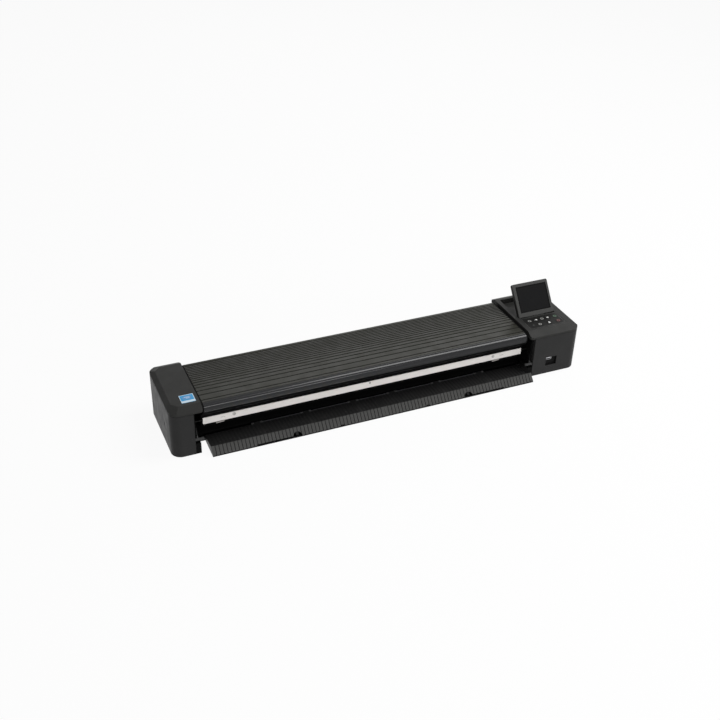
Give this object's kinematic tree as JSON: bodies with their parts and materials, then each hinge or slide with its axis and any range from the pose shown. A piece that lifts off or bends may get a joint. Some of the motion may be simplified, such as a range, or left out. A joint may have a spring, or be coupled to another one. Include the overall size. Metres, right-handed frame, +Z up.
{
  "type": "large format scanner",
  "caption": "Sheet-fed large format scanner: ribbed hinged lid over a roller-fed throat, fold-down ribbed tray, end housings, tilting display and keypad.",
  "frame": {"origin": "middle of the overall box in plan, on the table that the feet stand on", "axes": "+X along the body's width towards the display end, -Y the front where sheets go in, +Z up"},
  "size_m": [0.832, 0.1824, 0.1549],
  "materials": {
    "black_steel": "satin",
    "black_frame": "matt",
    "housing_grey": "fine texture",
    "cover_grey": "fine texture",
    "guide_black": "semi-gloss",
    "backing_white": "semi-gloss",
    "bush": "satin",
    "steel": "ground",
    "roller_rubber": "matt",
    "gear_white": "moulded",
    "brass": "satin",
    "motor_metal": "satin",
    "bracket_steel": "zinc plated",
    "board_green": "solder mask",
    "socket_metal": "nickel plated",
    "socket_black": "matt",
    "overlay_black": "satin film",
    "light_lens": "clear",
    "key_dark": "satin",
    "key_green": "satin",
    "key_red": "satin",
    "foot_rubber": "matt",
    "screw_black": "black oxide",
    "label_blue": "printed film",
    "ribbed_aluminium": "satin",
    "nose_gloss": "gloss",
    "guide_gloss": "gloss",
    "strip_white": "semi-gloss",
    "head_aluminium": "anodised",
    "sensor_grey": "moulded",
    "glass": "polished",
    "tray_black": "ribbed",
    "bezel_grey": "satin",
    "display_shell": "fine texture",
    "screen_black": "gloss",
    "latch_grey": "satin"
  },
  "bodies": {
    "base": {"base_chassis": "black_steel", "left_side_frame": "black_frame", "right_side_frame": "black_frame", "left_end_housing": "housing_grey", "right_end_housing": "housing_grey", "left_end_cover": "cover_grey", "right_end_cover": "cover_grey", "rear_cover": "black_steel", "paper_bed": "guide_black", "white_backing_plate": "backing_white", "roller_bushes": "bush", "idler_stud": "steel", "feed_motor": "motor_metal", "motor_bracket": "bracket_steel", "main_board": "board_green", "usb_host_socket": "socket_metal", "rear_sockets": "socket_black", "keypad_board": "board_green", "keypad_overlay": "overlay_black", "status_light": "light_lens", "rubber_feet": "foot_rubber", "housing_screws": "screw_black", "energy_label": "label_blue", "lid_hinge_pins": "steel", "tray_hinge_rod": "screw_black", "display_hinge_rod": "steel"},
    "lid": {"lid_panel": "ribbed_aluminium", "lid_nose_trim": "nose_gloss", "lid_left_end_plate": "black_frame", "lid_right_end_plate": "black_frame", "throat_guide": "guide_gloss", "media_strip": "strip_white", "scan_head_housing": "head_aluminium", "sensor_modules": "sensor_grey", "scan_glass": "glass"},
    "front_roller": {"front_drive_shaft": "steel", "front_drive_tyres": "roller_rubber", "front_roller_gear": "gear_white"},
    "rear_roller": {"rear_drive_shaft": "steel", "rear_drive_tyres": "roller_rubber", "rear_roller_gear": "gear_white"},
    "idler": {"idler_gear": "gear_white"},
    "pinion": {"motor_pinion": "brass"},
    "front_pressure": {"front_pressure_roller": "roller_rubber"},
    "rear_pressure": {"rear_pressure_roller": "roller_rubber"},
    "tray": {"tray_left_half": "tray_black", "tray_right_half": "tray_black"},
    "display": {"display_bezel": "bezel_grey", "display_back": "display_shell", "display_panel": "screen_black"},
    "left_latch": {"left_latch": "latch_grey"},
    "right_latch": {"right_latch": "latch_grey"},
    "key_home": {"key_home": "key_dark"},
    "key_left": {"key_left": "key_dark"},
    "key_menu": {"key_menu": "key_dark"},
    "key_down": {"key_down": "key_dark"},
    "key_back": {"key_back": "key_dark"},
    "key_up": {"key_up": "key_dark"},
    "key_start": {"key_start": "key_green"},
    "key_stop": {"key_stop": "key_red"}
  },
  "joints": [
    {"name": "lid_hinge", "type": "hinge", "parent": "base", "child": "lid", "pos_m": [-0.0285, 0.07317, 0.082], "axis": [-1, 0, 0], "range_deg": [0, 60]},
    {"name": "tray_hinge", "type": "hinge", "parent": "base", "child": "tray", "pos_m": [-0.0215, -0.03633, 0.0113], "axis": [-1, 0, 0], "range_deg": [0, 56]},
    {"name": "display_hinge", "type": "hinge", "parent": "base", "child": "display", "pos_m": [0.352, -0.00553, 0.0952], "axis": [1, 0, 0], "range_deg": [-53.7, 20]},
    {"name": "front_roller_spin", "type": "hinge", "parent": "base", "child": "front_roller", "pos_m": [-0.0285, -0.01083, 0.015], "axis": [1, 0, 0], "continuous": true},
    {"name": "rear_roller_spin", "type": "hinge", "parent": "base", "child": "rear_roller", "pos_m": [-0.0285, 0.03917, 0.015], "axis": [1, 0, 0], "continuous": true},
    {"name": "idler_spin", "type": "hinge", "parent": "base", "child": "idler", "pos_m": [-0.3795, 0.01417, 0.03333], "axis": [1, 0, 0], "continuous": true},
    {"name": "pinion_spin", "type": "hinge", "parent": "base", "child": "pinion", "pos_m": [-0.3795, 0.01417, 0.06333], "axis": [1, 0, 0], "continuous": true},
    {"name": "front_pressure_spin", "type": "hinge", "parent": "lid", "child": "front_pressure", "pos_m": [-0.0285, -0.01083, 0.0303], "axis": [1, 0, 0], "continuous": true},
    {"name": "rear_pressure_spin", "type": "hinge", "parent": "lid", "child": "rear_pressure", "pos_m": [-0.0285, 0.03917, 0.0303], "axis": [1, 0, 0], "continuous": true},
    {"name": "left_latch_press", "type": "hinge", "parent": "base", "child": "left_latch", "pos_m": [-0.3697, -0.05883, 0.046], "axis": [1, 0, 0], "range_deg": [0, 12], "stiffness_Nm_per_rad": 0.15, "springref_deg": -5.73},
    {"name": "right_latch_press", "type": "hinge", "parent": "base", "child": "right_latch", "pos_m": [0.3079, -0.05883, 0.046], "axis": [1, 0, 0], "range_deg": [0, 12], "stiffness_Nm_per_rad": 0.15, "springref_deg": -5.73},
    {"name": "key_home_press", "type": "slide", "parent": "base", "child": "key_home", "axis": [0, 0, -1], "range_m": [0, 0.0006], "stiffness_N_per_m": 400, "springref_m": -0.0005},
    {"name": "key_left_press", "type": "slide", "parent": "base", "child": "key_left", "axis": [0, 0, -1], "range_m": [0, 0.0006], "stiffness_N_per_m": 400, "springref_m": -0.0005},
    {"name": "key_menu_press", "type": "slide", "parent": "base", "child": "key_menu", "axis": [0, 0, -1], "range_m": [0, 0.0006], "stiffness_N_per_m": 400, "springref_m": -0.0005},
    {"name": "key_down_press", "type": "slide", "parent": "base", "child": "key_down", "axis": [0, 0, -1], "range_m": [0, 0.0006], "stiffness_N_per_m": 400, "springref_m": -0.0005},
    {"name": "key_back_press", "type": "slide", "parent": "base", "child": "key_back", "axis": [0, 0, -1], "range_m": [0, 0.0006], "stiffness_N_per_m": 400, "springref_m": -0.0005},
    {"name": "key_up_press", "type": "slide", "parent": "base", "child": "key_up", "axis": [0, 0, -1], "range_m": [0, 0.0006], "stiffness_N_per_m": 400, "springref_m": -0.0005},
    {"name": "key_start_press", "type": "slide", "parent": "base", "child": "key_start", "axis": [0, 0, -1], "range_m": [0, 0.0006], "stiffness_N_per_m": 400, "springref_m": -0.0005},
    {"name": "key_stop_press", "type": "slide", "parent": "base", "child": "key_stop", "axis": [0, 0, -1], "range_m": [0, 0.0006], "stiffness_N_per_m": 400, "springref_m": -0.0005}
  ],
  "couplings": [
    {"joint": "rear_roller_spin", "follows": "front_roller_spin", "ratio": 1},
    {"joint": "idler_spin", "follows": "front_roller_spin", "ratio": -0.40909},
    {"joint": "pinion_spin", "follows": "front_roller_spin", "ratio": 1.125}
  ]
}
